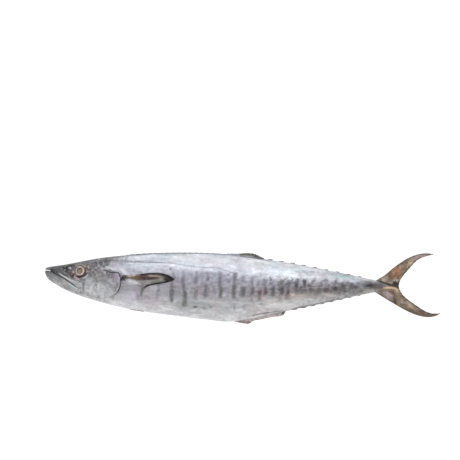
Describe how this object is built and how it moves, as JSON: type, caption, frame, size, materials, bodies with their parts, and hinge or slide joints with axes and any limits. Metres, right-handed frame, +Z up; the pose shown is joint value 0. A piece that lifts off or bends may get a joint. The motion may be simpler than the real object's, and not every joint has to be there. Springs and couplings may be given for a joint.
{
  "type": "whole raw fish",
  "caption": "Whole raw fish lying on its side, a long silvery barred mackerel with folded fins, slim tail root and forked tail.",
  "frame": {"origin": "middle of the underside of the lying fish, on the surface that it rests on", "axes": "+X from snout to tail, +Y towards the back of the fish, +Z up, out of its left flank"},
  "size_m": [0.701, 0.1382, 0.0582],
  "materials": {
    "skin": "wet silvery skin with fine scales, glossy",
    "eye": "wet clear eye, pale gold iris"
  },
  "bodies": {
    "root": {"fish": "skin", "eye_left": "eye", "eye_right": "eye"}
  },
  "joints": []
}
